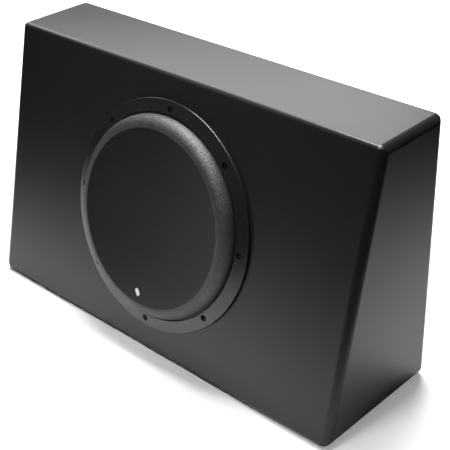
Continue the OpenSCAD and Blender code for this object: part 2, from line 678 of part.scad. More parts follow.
module potentiometers()
    color("#7d7f83") on_side() knob_places() difference() {
        union() {
            slab(14, 13, board_h, behind_h);
            peg(3.4, behind_h - eps, face_h + 1.4);
        }
        peg(shaft_r + 0.06, board_h + 4, 9);
    }
module knob(i)
    color("#1d1d1e") on_side() translate([i * knob_pitch, knob_y, 0]) difference() {
        union() {
            translate([0, 0, face_h + 1.8]) cylinder(r1 = knob_r, r2 = knob_r - 0.8, h = knob_h);
            peg(shaft_r, board_h + 4.5, face_h + 2);
        }
        translate([0, knob_r / 2 + 1, 0]) slab(1, knob_r, face_h + knob_h + 1, 9);
    }
module gain_knob() knob(-1);
module crossover_knob() knob(0);
module bass_boost_knob() knob(1);
module switch_bodies()
    color("#5c5e62") on_side() for (x = switch_x) translate([x, switch_y, 0]) difference() {
        slab(18, 9, board_h, behind_h);
        slab(slider_w + slider_travel + 1.2, slider_w + 1, behind_h - 5, 9);
    }
module slider(x)
    color("#e4e4e2") on_side() translate([x - slider_travel / 2, switch_y, 0]) {
        slab(slider_w + 0.4, slider_w + 0.2, behind_h - 4, behind_h - 0.4);
        slab(slider_w - 0.6, slider_w - 0.2, behind_h - 0.5, face_h + 3);
    }
module phase_slider() slider(switch_x[0]);
module input_slider() slider(switch_x[1]);
module phono_jack_shells()
    color("#c9c9c6") on_side() for (x = jack_x) translate([x, jack_y, 0]) difference() {
        union() {
            peg(jack_r, board_h, face_h + 1 + jack_len);
            peg(6.2, face_h, face_h + 1);
        }
        peg(3.3, board_h + 1, 9);
    }
module phono_insert(x, tint)
    color(tint) on_side() translate([x, jack_y, 0]) difference() {
        peg(3.3, board_h + 1, face_h + 9);
        peg(1.6, face_h - 6, 9);
    }
module phono_insert_left() phono_insert(jack_x[0], "white");
module phono_insert_right() phono_insert(jack_x[1], "firebrick");
module remote_socket()
    color("#1b1b1c") on_side() translate([socket_x, jack_y, 0]) difference() {
        union() {
            slab(socket_w, socket_w, face_h, face_h + 2);
            slab(socket_w - 3.2, socket_w - 3.2, board_h, face_h + eps);
        }
        slab(10, 7, board_h + 2, 9);
        translate([0, -4.2, 0]) slab(4, 2, board_h + 2, 9);
    }
module status_led()
    color("deepskyblue") on_side() translate([led_x, switch_y, 0]) {
        peg(1.5, behind_h - 4, face_h + 0.8);
        translate([0, 0, face_h + 0.8]) intersection() {
            sphere(1.5);
            peg(3, 0, 3);
        }
        peg(1.9, behind_h - 5, behind_h);
    }
module terminal_places() for (i = [-1:1]) translate([block_x + i * terminal_pitch, block_y, 0]) children();
module power_terminal_block()
    color("#161617") on_side() difference() {
        union() {
            translate([block_x, block_y, 0]) slab(block_w, block_hgt, face_h, face_h + block_out);
            translate([block_x, block_y, 0]) slab(block_w - 4.4, block_hgt - 4.4, board_h, face_h + 1);
        }
        terminal_places() slab(clamp_w + 0.2, clamp_hgt + 0.2, clamp_h, 9);
        terminal_places() screw_way(2.4, 0, block_hgt);
    }
// The upright way of a clamp screw, between two heights over the clamp's middle
module screw_way(r, low, high)
    translate([0, low, clamp_h + clamp_len / 2]) rotate([-90, 0, 0]) cylinder(r = r, h = high - low);
module terminal_clamps()
    color("#c8a45a") on_side() terminal_places() difference() {
        slab(clamp_w, clamp_hgt, clamp_h, clamp_h + clamp_len);
        translate([0, -wire_r, 0]) peg(wire_r, clamp_h + 2, 9);
        screw_way(2.06, -wire_r, clamp_hgt);
    }
module terminal_screws()
    color("#b9bbbe") on_side() terminal_places() difference() {
        screw_way(2, 0.2, block_hgt / 2 - 0.8);
        translate([0, block_hgt / 2 - 3.3, clamp_h + clamp_len / 2]) rotate([-90, 0, 0])
            cylinder(r = 1.2, h = 9, $fn = 6);
    }
module fuse_holder()
    color("#161617") on_side() translate([fuse_x, block_y, 0]) difference() {
        union() {
            slab(fuse_w, block_hgt, face_h, face_h + 10);
            slab(fuse_w - 4.4, block_hgt - 4.4, board_h, face_h + eps);
        }
        for (s = [-1, 1]) translate([s * 4.2, 0, 0]) slab(5.6, 19.6, face_h + 3, 9);
    }
module fuses()
    color("orange") on_side() for (s = [-1, 1]) translate([fuse_x + s * 4.2, block_y, 0]) {
        slab(3.4, 15, face_h + 3, face_h + 9);
        slab(5, 19, face_h + 8.6, face_h + 17);
    }

front_baffle();
back_panel();
top_panel();
bottom_panel();
left_side_panel();
right_side_panel();
corner_battens();
vinyl_wrap();
feet();
foot_screws();
mounting_gasket();
basket();
trim_ring();
driver_screws();
tee_nuts();
terminal_strip();
terminal_tabs();
surround();
cone_dish();
cone_body();
plain_badge();
voice_coil_former();
voice_coil();
spider();
tinsel_leads();
top_plate();
magnet();
yoke();
vent_screen();
motor_screws();
amp_tray();
amp_gasket();
amp_tray_screws();
control_panel();
control_panel_screws();
heatsink();
amp_cover();
circuit_board();
board_standoffs();
filter_capacitors();
toroid_coil();
power_transistors();
potentiometers();
gain_knob();
crossover_knob();
bass_boost_knob();
switch_bodies();
phase_slider();
input_slider();
phono_jack_shells();
phono_insert_left();
phono_insert_right();
remote_socket();
status_led();
power_terminal_block();
terminal_clamps();
terminal_screws();
fuse_holder();
fuses();
speaker_leads();
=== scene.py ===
import json
import math

import bmesh
import bpy
from mathutils import Matrix, Vector


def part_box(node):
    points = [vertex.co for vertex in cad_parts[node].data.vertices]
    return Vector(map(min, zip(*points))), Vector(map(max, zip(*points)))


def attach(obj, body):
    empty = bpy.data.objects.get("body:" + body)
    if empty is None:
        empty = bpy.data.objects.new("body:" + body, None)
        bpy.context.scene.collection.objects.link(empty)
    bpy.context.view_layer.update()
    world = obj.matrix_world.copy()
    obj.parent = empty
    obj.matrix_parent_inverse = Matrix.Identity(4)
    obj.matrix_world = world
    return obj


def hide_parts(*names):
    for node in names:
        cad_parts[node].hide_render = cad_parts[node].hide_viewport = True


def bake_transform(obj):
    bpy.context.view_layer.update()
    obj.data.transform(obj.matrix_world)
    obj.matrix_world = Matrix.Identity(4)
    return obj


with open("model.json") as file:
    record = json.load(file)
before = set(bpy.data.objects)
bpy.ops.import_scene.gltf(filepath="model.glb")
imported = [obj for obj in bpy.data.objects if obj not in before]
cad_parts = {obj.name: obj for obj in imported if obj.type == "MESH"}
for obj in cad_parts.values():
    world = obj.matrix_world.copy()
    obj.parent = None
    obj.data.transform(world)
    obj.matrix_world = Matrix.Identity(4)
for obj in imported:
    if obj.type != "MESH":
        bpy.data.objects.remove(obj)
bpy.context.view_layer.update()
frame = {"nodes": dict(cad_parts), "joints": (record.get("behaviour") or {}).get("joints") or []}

nodes = frame["nodes"]


# ---------------------------------------------------------------- camera, lights and floor
# The cabinet stands on a pale studio floor, seen from its front right and from above. One soft light
# hangs over it, a broad one stands behind its left end, and two small ones fill in the left and front.
cabinet_low, cabinet_high = (Vector(c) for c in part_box("vinyl_wrap"))
width = cabinet_high.x - cabinet_low.x
back_base = Vector((0, cabinet_high.y, cabinet_low.z))

azimuth, elevation, roll = math.radians(44.29), math.radians(30.52), math.radians(-1.976)
eye_in_widths = Vector((1.4330, -1.5318, 1.3979))
lens_length, film_width = 85.65, 36
eye = back_base + eye_in_widths * width
backward = Vector((math.sin(azimuth) * math.cos(elevation), -math.cos(azimuth) * math.cos(elevation),
                   math.sin(elevation)))
sideways = Vector((math.cos(azimuth), math.sin(azimuth), 0))
upward = backward.cross(sideways)
turned = (math.cos(roll) * sideways + math.sin(roll) * upward,
          math.cos(roll) * upward - math.sin(roll) * sideways)
camera = bpy.data.objects.new("camera", bpy.data.cameras.new("camera"))
camera.data.lens, camera.data.sensor_width = lens_length, film_width
camera.matrix_world = Matrix.Translation(eye) @ Matrix((turned[0], turned[1], backward)).transposed().to_4x4()
bpy.context.scene.collection.objects.link(camera)
bpy.context.scene.camera = camera


def soft_light(name, place, aim, size, power, spread=math.pi):
    lamp = bpy.data.lights.new(name, "AREA")
    lamp.shape, lamp.size, lamp.size_y = "RECTANGLE", size[0], size[1]
    lamp.energy, lamp.spread = power, spread
    piece = bpy.data.objects.new(name, lamp)
    piece.location = place
    piece.rotation_euler = (Vector(place) - Vector(aim)).to_track_quat("Z", "Y").to_euler()
    bpy.context.scene.collection.objects.link(piece)
    return piece


soft_light("overhead_light", (-0.15, 0.35, 1.6), (-0.1, 0.2, 0.1), (0.7, 0.6), 15, math.radians(100))
soft_light("back_left_light", (-0.8, 0.72, 1.05), (-0.05, 0.0, 0.38), (1.35, 0.56), 8)
soft_light("left_light", (-1.1, 0.0, 1.0), (-0.6, 0.1, 0.0), (0.5, 0.5), 1.2, math.radians(110))
soft_light("front_light", (0.12, -0.62, 1.5), (0, 0.0, 0.3), (0.3, 0.3), 1.3, math.radians(50))

# The room itself is dim, though the eye sees it as a white backdrop.
room_strength, backdrop_strength = 0.06, 1.0
world = bpy.data.worlds.new("studio")
world.use_nodes = True
bpy.context.scene.world = world
bpy.context.scene.view_settings.view_transform = "Standard"
tree = world.node_tree
tree.nodes.clear()
room = tree.nodes.new("ShaderNodeBackground")
room.inputs["Color"].default_value = (1, 1, 1, 1)
room.inputs["Strength"].default_value = room_strength
backdrop = tree.nodes.new("ShaderNodeBackground")
backdrop.inputs["Color"].default_value = (1, 1, 1, 1)
backdrop.inputs["Strength"].default_value = backdrop_strength
ray = tree.nodes.new("ShaderNodeLightPath")
either = tree.nodes.new("ShaderNodeMixShader")
out = tree.nodes.new("ShaderNodeOutputWorld")
tree.links.new(ray.outputs["Is Camera Ray"], either.inputs["Fac"])
tree.links.new(room.outputs[0], either.inputs[1])
tree.links.new(backdrop.outputs[0], either.inputs[2])
tree.links.new(either.outputs[0], out.inputs["Surface"])


def keep(bm, name):
    mesh = bpy.data.meshes.new(name)
    bm.to_mesh(mesh)
    bm.free()
    piece = bpy.data.objects.new(name, mesh)
    bpy.context.scene.collection.objects.link(piece)
    return piece


floor_radius = 7
floor_middle = (-0.2, 0.05, 0)
# The second colour is painted shade, the dark the floor shows in reflections far from the cabinet.
pale, painted_far_shade = (0.86, 0.86, 0.86, 1), (0.06, 0.06, 0.06, 1)
floor_shape = bmesh.new()
bmesh.ops.create_circle(floor_shape, cap_ends=True, segments=96, radius=floor_radius)
studio_floor = keep(floor_shape, "studio_floor")
floor_paint = bpy.data.materials.new("floor_paint")
floor_paint.use_nodes = True
tree = floor_paint.node_tree
matt = tree.nodes["Principled BSDF"]
matt.inputs["Roughness"].default_value = 0.9
matt.inputs["Specular IOR Level"].default_value = 0.1
# Painted shade: in reflections the floor's colour goes dark beyond about a metre from the cabinet, standing
# in for the dim studio past the lit patch; to the eye it stays pale.
place = tree.nodes.new("ShaderNodeTexCoord").outputs["Object"]
away = tree.nodes.new("ShaderNodeVectorMath")
away.operation = "DISTANCE"
away.inputs[1].default_value = floor_middle
tree.links.new(place, away.inputs[0])
# Painted shade mask: 1 near the cabinet, falling to 0 (dark floor colour in reflections) further out.
sheet = tree.nodes.new("ShaderNodeMapRange")
sheet.interpolation_type = "SMOOTHSTEP"
for label, v in (("From Min", 0.6), ("From Max", 1.15), ("To Min", 1.0), ("To Max", 0.0)):
    sheet.inputs[label].default_value = v
tree.links.new(away.outputs["Value"], sheet.inputs["Value"])
camera_ray = tree.nodes.new("ShaderNodeLightPath").outputs["Is Camera Ray"]
seen = tree.nodes.new("ShaderNodeMath")
seen.operation = "MAXIMUM"
tree.links.new(sheet.outputs["Result"], seen.inputs[0])
tree.links.new(camera_ray, seen.inputs[1])
shade = tree.nodes.new("ShaderNodeMix")
shade.data_type = "RGBA"
shade.inputs[6].default_value = painted_far_shade
shade.inputs[7].default_value = pale
tree.links.new(seen.outputs[0], shade.inputs[0])
tree.links.new(shade.outputs[2], matt.inputs["Base Color"])
# To the eye the floor runs on into a white backdrop, which lights nothing.
backdrop_fade = tree.nodes.new("ShaderNodeMapRange")
backdrop_fade.interpolation_type = "SMOOTHSTEP"
for label, v in (("From Min", 0.35), ("From Max", 0.85), ("To Min", 0.0), ("To Max", 1.0)):
    backdrop_fade.inputs[label].default_value = v
tree.links.new(away.outputs["Value"], backdrop_fade.inputs["Value"])
glow = tree.nodes.new("ShaderNodeMath")
glow.operation = "MULTIPLY"
tree.links.new(backdrop_fade.outputs["Result"], glow.inputs[0])
tree.links.new(camera_ray, glow.inputs[1])
matt.inputs["Emission Color"].default_value = (1, 1, 1, 1)
tree.links.new(glow.outputs[0], matt.inputs["Emission Strength"])
studio_floor.data.materials.append(floor_paint)


# ---------------------------------------------------------------- cabinet panels
# Six boards of medium density fibreboard, glued and stapled edge to edge. Their cut edges and inner
# faces are bare: pale brown with a fine felted speckle.
def effect_group(name, values, results):
    group = bpy.data.node_groups.new(name, "ShaderNodeTree")
    for label, kind, default in values:
        socket = group.interface.new_socket(name=label, in_out="INPUT", socket_type=kind)
        socket.default_value = default
    for label, kind in results:
        group.interface.new_socket(name=label, in_out="OUTPUT", socket_type=kind)
    return group, group.nodes.new("NodeGroupInput"), group.nodes.new("NodeGroupOutput")


def add_noise(tree, vector, scale, detail=3.0, rough=0.55):
    noise = tree.nodes.new("ShaderNodeTexNoise")
    noise.inputs["Detail"].default_value = detail
    noise.inputs["Roughness"].default_value = rough
    tree.links.new(vector, noise.inputs["Vector"])
    if isinstance(scale, (int, float)):
        noise.inputs["Scale"].default_value = scale
    else:
        tree.links.new(scale, noise.inputs["Scale"])
    return noise.outputs["Fac"]


def add_range(tree, value, low, high, new_low, new_high):
    ranged = tree.nodes.new("ShaderNodeMapRange")
    ranged.interpolation_type = "SMOOTHERSTEP"
    tree.links.new(value, ranged.inputs["Value"])
    for label, v in (("From Min", low), ("From Max", high), ("To Min", new_low), ("To Max", new_high)):
        if isinstance(v, (int, float)):
            ranged.inputs[label].default_value = v
        else:
            tree.links.new(v, ranged.inputs[label])
    return ranged.outputs["Result"]


def add_math(tree, kind, a, b):
    step = tree.nodes.new("ShaderNodeMath")
    step.operation = kind
    for socket, v in zip(step.inputs, (a, b)):
        if isinstance(v, (int, float)):
            socket.default_value = v
        else:
            tree.links.new(v, socket)
    return step.outputs[0]


def add_mix(tree, factor, a, b):
    mix = tree.nodes.new("ShaderNodeMix")
    mix.data_type = "RGBA"
    for label, v in (("Factor", factor), ("A", a), ("B", b)):
        socket = [s for s in mix.inputs if s.name == label and (label == "Factor" or s.type == "RGBA")][0]
        if isinstance(v, (int, float, tuple)):
            socket.default_value = v
        else:
            tree.links.new(v, socket)
    return [s for s in mix.outputs if s.type == "RGBA"][0]


# Mottling: a slow drift of shade over a fine one, and the same drift in how polished the surface is.
mottling, given, gives = effect_group(
    "mottling",
    [("Colour", "NodeSocketColor", (0.5, 0.5, 0.5, 1)),
     ("Second Colour", "NodeSocketColor", (0.4, 0.4, 0.4, 1)),
     ("Scale", "NodeSocketFloat", 60.0), ("Amount", "NodeSocketFloat", 0.5),
     ("Roughness", "NodeSocketFloat", 0.5), ("Roughness Spread", "NodeSocketFloat", 0.1)],
    [("Colour", "NodeSocketColor"), ("Roughness", "NodeSocketFloat")])
place = mottling.nodes.new("ShaderNodeTexCoord").outputs["Object"]
fine = add_noise(mottling, place, given.outputs["Scale"], 5.0, 0.62)
slow = add_noise(mottling, place, 9.0, 2.0, 0.5)
fine_share, slow_share = 0.6, 0.4
mixed = add_math(mottling, "ADD", add_math(mottling, "MULTIPLY", fine, fine_share),
                 add_math(mottling, "MULTIPLY", slow, slow_share))
factor = add_math(mottling, "MULTIPLY", add_range(mottling, mixed, 0.25, 0.75, 0.0, 1.0),
                  given.outputs["Amount"])
mottling.links.new(add_mix(mottling, factor, given.outputs["Colour"], given.outputs["Second Colour"]),
                   gives.inputs["Colour"])
spread = add_math(mottling, "MULTIPLY", add_range(mottling, slow, 0.15, 0.85, -1.0, 1.0),
                  given.outputs["Roughness Spread"])
mottling.links.new(add_math(mottling, "ADD", given.outputs["Roughness"], spread), gives.inputs["Roughness"])

# Grain: the height of a surface's texture, from rounded pebbles to long brushed lines.
grain, given, gives = effect_group(
    "grain",
    [("Scale", "NodeSocketFloat", 900.0), ("Stretch", "NodeSocketVector", (1.0, 1.0, 1.0)),
     ("Pebbles", "NodeSocketFloat", 0.5)],
    [("Height", "NodeSocketFloat")])
place = grain.nodes.new("ShaderNodeTexCoord").outputs["Object"]
stretched = grain.nodes.new("ShaderNodeVectorMath")
stretched.operation = "MULTIPLY"
grain.links.new(place, stretched.inputs[0])
grain.links.new(given.outputs["Stretch"], stretched.inputs[1])
pebble = grain.nodes.new("ShaderNodeTexVoronoi")
pebble.feature = "SMOOTH_F1"
grain.links.new(stretched.outputs[0], pebble.inputs["Vector"])
grain.links.new(given.outputs["Scale"], pebble.inputs["Scale"])
powder = add_noise(grain, stretched.outputs[0], given.outputs["Scale"], 4.0, 0.6)
pebble_height = add_math(grain, "MULTIPLY", pebble.outputs["Distance"], given.outputs["Pebbles"])
grain.links.new(add_math(grain, "ADD", pebble_height, powder), gives.inputs["Height"])


coat_roughness = 0.12


# A finish is one Principled surface fed by the two effects, with its own values.
def finish(name, colour, second, roughness, metal=0.0, specular=0.5, coat=0.0, scale=60.0, amount=0.5,
           spread=0.06, grain_scale=900.0, stretch=(1, 1, 1), pebbles=0.3, depth=0.00003, **sockets):
    material = bpy.data.materials.new(name)
    material.use_nodes = True
    tree = material.node_tree
    surface = tree.nodes["Principled BSDF"]
    surface.inputs["Metallic"].default_value = metal
    surface.inputs["Specular IOR Level"].default_value = specular
    surface.inputs["Coat Weight"].default_value = coat
    surface.inputs["Coat Roughness"].default_value = coat_roughness
    for label, v in sockets.items():
        surface.inputs[label.replace("_", " ").title()].default_value = v
    shades = tree.nodes.new("ShaderNodeGroup")
    shades.node_tree = mottling
    shades.inputs["Colour"].default_value = (*colour, 1)
    shades.inputs["Second Colour"].default_value = (*second, 1)
    shades.inputs["Scale"].default_value = scale
    shades.inputs["Amount"].default_value = amount
    shades.inputs["Roughness"].default_value = roughness
    shades.inputs["Roughness Spread"].default_value = spread
    tree.links.new(shades.outputs["Colour"], surface.inputs["Base Color"])
    tree.links.new(shades.outputs["Roughness"], surface.inputs["Roughness"])
    relief = tree.nodes.new("ShaderNodeGroup")
    relief.node_tree = grain
    relief.inputs["Scale"].default_value = grain_scale
    relief.inputs["Stretch"].default_value = stretch
    relief.inputs["Pebbles"].default_value = pebbles
    bump = tree.nodes.new("ShaderNodeBump")
    bump.inputs["Strength"].default_value = 1.0
    bump.inputs["Distance"].default_value = depth
    tree.links.new(relief.outputs["Height"], bump.inputs["Height"])
    tree.links.new(bump.outputs["Normal"], surface.inputs["Normal"])
    return material


same_point, crease_angle, face_weight = 0.000002, math.radians(38), 80


def dress(node, material, ease=0.0, segments=2):
    piece = nodes[node]
    if not piece.material_slots:
        piece.data.materials.append(material)
    for held in piece.material_slots:
        held.material = material
    if ease:
        weld = piece.modifiers.new("weld", "WELD")
        weld.merge_threshold = same_point
        rounding = piece.modifiers.new("eased_edges", "BEVEL")
        rounding.width, rounding.segments, rounding.limit_method = ease, segments, "ANGLE"
        rounding.angle_limit = crease_angle
        piece.data.polygons.foreach_set("use_smooth", [True] * len(piece.data.polygons))
        piece.modifiers.new("face_normals", "WEIGHTED_NORMAL").weight = face_weight
    return piece


fibreboard = finish("fibreboard", (0.36, 0.245, 0.14), (0.25, 0.165, 0.09), 0.8, specular=0.2, scale=420,
                    amount=0.9, grain_scale=1500, depth=0.00012)
for board in ("front_baffle", "back_panel", "top_panel", "bottom_panel", "left_side_panel",
              "right_side_panel"):
    dress(board, fibreboard)


# ---------------------------------------------------------------- corner battens
# Square softwood strips glued into the inner corners, which stiffen the joints between the boards.
# Planed pine: straw coloured, with darker growth lines along the strip.
pine = finish("planed_pine", (0.62, 0.43, 0.22), (0.42, 0.26, 0.12), 0.6, specular=0.3, scale=90, amount=0.8,
              grain_scale=700, stretch=(0.04, 1, 1), pebbles=0.1, depth=0.0001)
dress("corner_battens", pine, 0.0006)


# ---------------------------------------------------------------- vinyl wrap
# Satin black vinyl, 0.8 mm thick, drawn tight over the boards and glued, with no seam on the faces
# that show. It follows the routed edges: a wide radius round both ends, a tight one along the rest.
end_radius, edge_radius, wrap_thickness = 0.011, 0.005, 0.0008
top_depth, bottom_depth = 0.117, 0.208
driver_rise, driver_hole = 0.0015, 0.141
tray_corner, tray_clearance, cutter_depth = 0.0084, 0.0008, 0.03


def baked(piece):
    view = bpy.context.evaluated_depsgraph_get()
    view.update()
    mesh = bpy.data.meshes.new_from_object(piece.evaluated_get(view), preserve_all_data_layers=True,
                                           depsgraph=view)
    piece.modifiers.clear()
    piece.data = mesh
    return piece


def smooth(piece, angle=32):
    piece.data.polygons.foreach_set("use_smooth", [True] * len(piece.data.polygons))
    piece.data.set_sharp_from_angle(angle=math.radians(angle))
    weighted = piece.modifiers.new("face_normals", "WEIGHTED_NORMAL")
    weighted.keep_sharp = True
    return piece


def cut(piece, *cutters):
    for cutter in cutters:
        step = piece.modifiers.new("cut", "BOOLEAN")
        step.operation, step.object, step.solver = "DIFFERENCE", cutter, "EXACT"
    baked(piece)
    for cutter in cutters:
        bpy.data.objects.remove(cutter)
    return piece


def rounded_block(size, corner, segments=8):
    bm = bmesh.new()
    bmesh.ops.create_cube(bm, size=1)
    bmesh.ops.scale(bm, vec=size, verts=bm.verts)
    uprights = [e for e in bm.edges if abs(e.verts[0].co.z - e.verts[1].co.z) > size[2] / 2]
    bmesh.ops.bevel(bm, geom=uprights, offset=corner, segments=segments, profile=0.5, affect="EDGES",
                    material=-1)
    return bm


baffle_normal = Vector(frame["joints"][0]["axis"]).normalized()
baffle_up = baffle_normal.cross(Vector((1, 0, 0)))
baffle_middle = Vector((0, cabinet_high.y - (top_depth + bottom_depth) / 2,
                        (cabinet_low.z + cabinet_high.z) / 2))
# On the baffle: local X to the right, local Y up its slope, local Z out of it, from the driver's middle.
to_baffle = Matrix.Translation(baffle_middle + driver_rise * baffle_up) @ Matrix(
    ((1, 0, 0), tuple(baffle_up), tuple(baffle_normal))).transposed().to_4x4()
tray_low, tray_high = (Vector(c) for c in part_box("amp_tray"))
tray_middle = (tray_low + tray_high) / 2
end_x = cabinet_low.x
# On the left end: local X towards the front, local Y up, local Z out of the cabinet.
to_end = Matrix.Translation((end_x, tray_middle.y, tray_middle.z)) @ Matrix(
    ((0, -1, 0), (0, 0, 1), (-1, 0, 0))).transposed().to_4x4()

wrap_shape = bmesh.new()
bmesh.ops.create_cube(wrap_shape, size=1)
for v in wrap_shape.verts:
    high, front = v.co.z > 0, v.co.y < 0
    v.co.x = math.copysign(width / 2, v.co.x)
    v.co.z = cabinet_high.z if high else cabinet_low.z
    v.co.y = cabinet_high.y - ((top_depth if high else bottom_depth) if front else 0)
weights = wrap_shape.edges.layers.float.new("bevel_weight_edge")
for e in wrap_shape.edges:
    along = abs(e.verts[0].co.x - e.verts[1].co.x) > width / 2
    e[weights] = edge_radius / end_radius if along else 1.0
vinyl_wrap = keep(wrap_shape, "wrap")
edges = vinyl_wrap.modifiers.new("routed_edges", "BEVEL")
edges.width, edges.segments, edges.limit_method = end_radius, 10, "WEIGHT"
baked(vinyl_wrap)
wall = vinyl_wrap.modifiers.new("sheet", "SOLIDIFY")
wall.thickness, wall.offset = wrap_thickness, -1
baked(vinyl_wrap)

driver_opening = bmesh.new()
bmesh.ops.create_cone(driver_opening, cap_ends=True, segments=128, radius1=driver_hole,
                      radius2=driver_hole, depth=0.05)
bmesh.ops.transform(driver_opening, matrix=to_baffle, verts=driver_opening.verts)
amp_opening = rounded_block((tray_high.y - tray_low.y + tray_clearance,
                             tray_high.z - tray_low.z + tray_clearance, cutter_depth), tray_corner)
bmesh.ops.transform(amp_opening, matrix=to_end, verts=amp_opening.verts)
cut(vinyl_wrap, keep(driver_opening, "driver_opening"), keep(amp_opening, "amp_opening"))
smooth(vinyl_wrap)
satin_vinyl = finish("satin_vinyl", (0.011, 0.011, 0.0113), (0.015, 0.015, 0.0153), 0.3, specular=0.5,
                     scale=14, amount=0.25, spread=0.01, grain_scale=1300, pebbles=0.6, depth=0.00001)
vinyl_wrap.data.materials.clear()
vinyl_wrap.data.materials.append(satin_vinyl)
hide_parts("vinyl_wrap")
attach(vinyl_wrap, "cabinet")


# ---------------------------------------------------------------- feet
# Four round feet of soft black rubber under the corners, each held up into the bottom board by a
# zinc-plated wood screw in its counterbore.
rubber = finish("foot_rubber", (0.02, 0.02, 0.02), (0.03, 0.03, 0.03), 0.75, specular=0.35, scale=300,
                grain_scale=2500, depth=0.00004)
dress("feet", rubber, 0.0006)
bright_zinc = finish("bright_zinc", (0.6, 0.61, 0.6), (0.5, 0.5, 0.47), 0.32, metal=1.0, scale=500,
                     amount=0.5, grain_scale=3000, depth=0.00001)
dress("foot_screws", bright_zinc, 0.0002)


# ---------------------------------------------------------------- driver frame
# A bowl pressed from steel sheet and powder coated black, with slots between its spokes. Its flange sits
# on a foam gasket and screws into tee nuts behind the baffle; a nylon strip holds the wire tabs.
foam = finish("gasket_foam", (0.012, 0.012, 0.012), (0.02, 0.02, 0.02), 0.9, specular=0.15, scale=700,
              grain_scale=3200, pebbles=1.0, depth=0.0001)
dress("mounting_gasket", foam)
powder_coat = finish("powder_coat", (0.016, 0.016, 0.017), (0.022, 0.022, 0.023), 0.48, specular=0.45,
                     scale=500, grain_scale=2200, pebbles=0.8, depth=0.00004)
dress("basket", powder_coat, 0.0005)
dress("tee_nuts", bright_zinc, 0.0002)
nylon = finish("black_nylon", (0.012, 0.012, 0.012), (0.018, 0.018, 0.018), 0.5, scale=300,
               grain_scale=2600, depth=0.00002)
dress("terminal_strip", nylon, 0.0003)
gold_plate = finish("gold_plate", (0.83, 0.58, 0.2), (0.75, 0.5, 0.16), 0.22, metal=1.0, scale=400,
                    grain_scale=3000, depth=0.000008)
dress("terminal_tabs", gold_plate, 0.0001)


# ---------------------------------------------------------------- motor
# A ferrite ring clamped between a zinc-plated iron top plate and a yoke whose pole is bored for cooling.
# The plate is screwed to the bowl; a punched disc keeps dust out of the bore.
plated_iron = finish("plated_iron", (0.42, 0.43, 0.44), (0.33, 0.34, 0.34), 0.36, metal=1.0, scale=200,
                     amount=0.7, grain_scale=900, pebbles=0.1, depth=0.00003)
for part in ("top_plate", "yoke"):
    dress(part, plated_iron, 0.0006)
ferrite = finish("ferrite", (0.045, 0.046, 0.05), (0.03, 0.03, 0.033), 0.55, specular=0.6, scale=260,
                 amount=0.9, grain_scale=1400, depth=0.00009)
dress("magnet", ferrite, 0.0012)
punched_steel = finish("punched_steel", (0.5, 0.5, 0.5), (0.42, 0.42, 0.42), 0.35, metal=1.0,
                       grain_scale=3000, depth=0.00001)
dress("vent_screen", punched_steel)
dress("motor_screws", bright_zinc, 0.0002)


# ---------------------------------------------------------------- voice coil
# Enamelled copper wire wound in even turns round a lacquered aluminium tube, which hangs in the gap
# between the top plate and the pole.
copper_wire = finish("copper_wire", (0.62, 0.21, 0.07), (0.42, 0.12, 0.035), 0.3, metal=1.0, coat=0.5,
                     scale=500, grain_scale=1500, pebbles=0.2, depth=0.00003)
dress("voice_coil", copper_wire)
lacquered_tube = finish("lacquered_tube", (0.66, 0.46, 0.2), (0.55, 0.36, 0.14), 0.3, metal=1.0, scale=120,
                        grain_scale=2000, depth=0.00001)
dress("voice_coil_former", lacquered_tube)


# ---------------------------------------------------------------- spider
# A corrugated disc of resin-dipped cotton that centres the coil. Its rim is glued to the bowl's shelf
# and its inner edge to the coil's tube; it is built at rest in one fixed shape.
def arc(bm, start, centre, angle, steps):
    """Sweeps a point about a centre in the XZ plane and returns the points of the arc, start first."""
    first = bm.verts.new((start[0], 0, start[1]))
    bmesh.ops.spin(bm, geom=[first], cent=(centre[0], 0, centre[1]), axis=(0, -1, 0), angle=angle,
                   steps=steps, use_merge=False, use_duplicate=False)
    line, last, seen = [first], first, {first}
    while True:
        following = [e.other_vert(last) for e in last.link_edges if e.other_vert(last) not in seen]
        if not following:
            return line
        last = following[0]
        seen.add(last)
        line.append(last)


def path(bm, points, before=None):
    """Joins points, given as radius and height, with straight edges; returns them in order."""
    line = [bm.verts.new((r, 0, h)) for r, h in points]
    if before is not None:
        line = [before] + line
    for a, b in zip(line, line[1:]):
        bm.edges.new((a, b))
    return line


def turn_round(bm, steps=144, thickness=0.0):
    """Turns the profile about Z into a closed surface, with a wall thickness if it is a sheet."""
    bmesh.ops.spin(bm, geom=list(bm.verts) + list(bm.edges), cent=(0, 0, 0), axis=(0, 0, 1),
                   angle=2 * math.pi, steps=steps, use_merge=True, use_duplicate=False)
    bmesh.ops.remove_doubles(bm, verts=bm.verts, dist=0.000004)
    bmesh.ops.recalc_face_normals(bm, faces=bm.faces)
    if thickness:
        bmesh.ops.solidify(bm, geom=bm.faces, thickness=thickness)
    return bm


def in_baffle(bm, name):
    bmesh.ops.transform(bm, matrix=to_baffle, verts=bm.verts)
    return keep(bm, name)


former_radius = (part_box("voice_coil_former")[1][0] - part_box("voice_coil_former")[0][0]) / 2
cloth_inner, cloth_outer, cloth_rim = former_radius + 0.0001, 0.085, 0.0918
cloth_high, cloth_low, cloth_waves, wave_height, cloth_thickness = -0.036, -0.0456, 6, 0.0016, 0.0006
spider_shape = bmesh.new()
wave_steps = 14 * cloth_waves
outline = []
for i in range(wave_steps + 1):
    s = i / wave_steps
    swell = wave_height * math.sin(s * cloth_waves * 2 * math.pi) * math.sin(s * math.pi)
    outline.append((cloth_inner + s * (cloth_outer - cloth_inner),
                    cloth_high + s * (cloth_low - cloth_high) + swell))
path(spider_shape, outline + [(cloth_rim, cloth_low)])
turn_round(spider_shape, 120, cloth_thickness)
spider_cloth = in_baffle(spider_shape, "spider_cloth")
smooth(spider_cloth, 60)
cotton = finish("dipped_cotton", (0.45, 0.33, 0.13), (0.36, 0.25, 0.09), 0.7, specular=0.25, scale=1500,
                amount=0.9, grain_scale=1900, pebbles=1.0, depth=0.0002, sheen_weight=0.2)
spider_cloth.data.materials.append(cotton)
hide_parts("spider")
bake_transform(spider_cloth)


